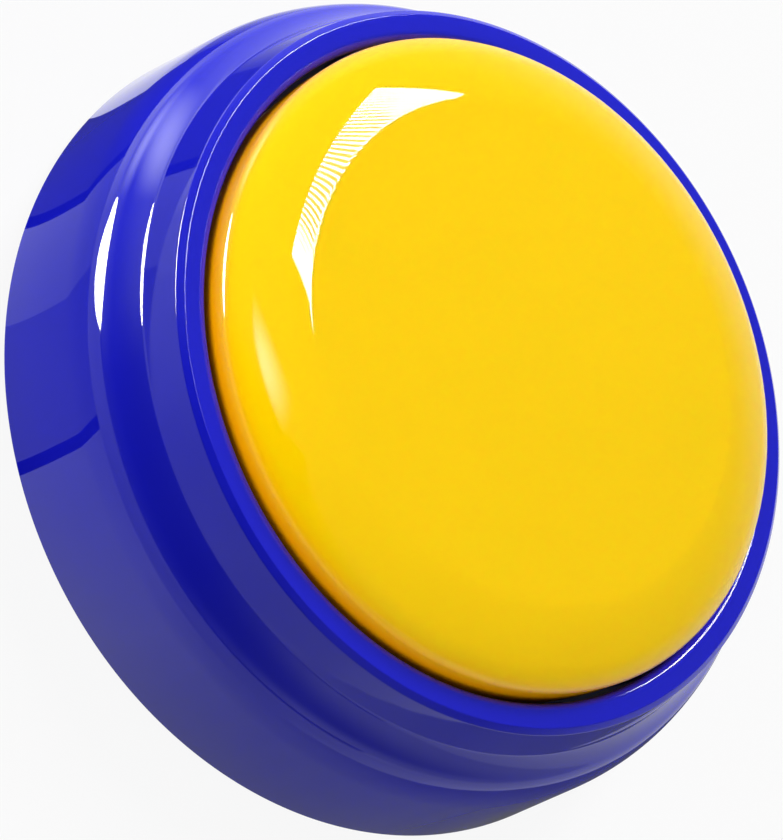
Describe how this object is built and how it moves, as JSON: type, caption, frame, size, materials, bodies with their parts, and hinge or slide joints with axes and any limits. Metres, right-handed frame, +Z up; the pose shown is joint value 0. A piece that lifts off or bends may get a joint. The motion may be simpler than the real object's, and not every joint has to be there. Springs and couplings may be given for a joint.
{
  "type": "quiz buzzer",
  "caption": "Round push-button quiz buzzer with a low gloss dome in a stepped round base, sprung, with a switch, a speaker and a cell bay inside.",
  "frame": {"origin": "centre of the base, on the surface that the feet stand on", "axes": "+Z up through the dome, +Y towards the speaker's slots, -Y towards the battery door"},
  "size_m": [0.09, 0.09, 0.0314],
  "materials": {
    "yellow_cap": "smooth gloss moulding",
    "blue_shell": "smooth gloss moulding",
    "blue_cover": "fine spark texture",
    "zinc_screw": "zinc plated",
    "black_rubber": "matt",
    "spring_steel": "drawn wire",
    "board_laminate": "green solder resist",
    "black_resin": "cast resin",
    "capacitor_can": "dark sleeve",
    "black_switch": "moulded",
    "white_stem": "moulded",
    "speaker_steel": "pressed and plated",
    "speaker_paper": "pressed paper",
    "magnet_iron": "plated",
    "cell_sleeve": "plain printed sleeve with bare ends",
    "contact_plate": "nickel plated",
    "red_wire": "insulated",
    "black_wire": "insulated"
  },
  "bodies": {
    "base": {"base_shell": "blue_shell", "bottom_cover": "blue_cover", "cover_screws": "zinc_screw", "rubber_feet": "black_rubber", "return_springs": "spring_steel", "circuit_board": "board_laminate", "board_screws": "zinc_screw", "voice_chip": "black_resin", "board_capacitor": "capacitor_can", "board_resistors": "black_resin", "tact_switch_body": "black_switch", "speaker_frame": "speaker_steel", "speaker_cone": "speaker_paper", "speaker_magnet": "magnet_iron", "speaker_terminal_strip": "board_laminate", "speaker_screws": "zinc_screw", "battery_cells": "cell_sleeve", "battery_positive_contact": "contact_plate", "battery_negative_contact": "contact_plate", "battery_bridge_contact": "contact_plate", "battery_lead_red": "red_wire", "battery_lead_black": "black_wire", "speaker_lead_red": "red_wire", "speaker_lead_black": "black_wire"},
    "cap": {"dome_cap": "yellow_cap"},
    "stem": {"tact_switch_stem": "white_stem"},
    "door": {"battery_door": "blue_cover", "battery_door_screw": "zinc_screw"}
  },
  "joints": [
    {"name": "cap_press", "type": "slide", "parent": "base", "child": "cap", "axis": [0, 0, -1], "range_m": [0, 0.003], "stiffness_N_per_m": 1000, "springref_m": -0.0012, "deforming": ["return_springs"]},
    {"name": "switch_press", "type": "slide", "parent": "base", "child": "stem", "axis": [0, 0, -1], "range_m": [0, 0.0003]},
    {"name": "battery_door_hinge", "type": "hinge", "parent": "base", "child": "door", "pos_m": [0, -0.00715, 0.0012], "axis": [1, 0, 0], "range_deg": [0, 45]}
  ],
  "couplings": [
    {"joint": "switch_press", "follows": "cap_press", "ratio": 0.1}
  ]
}
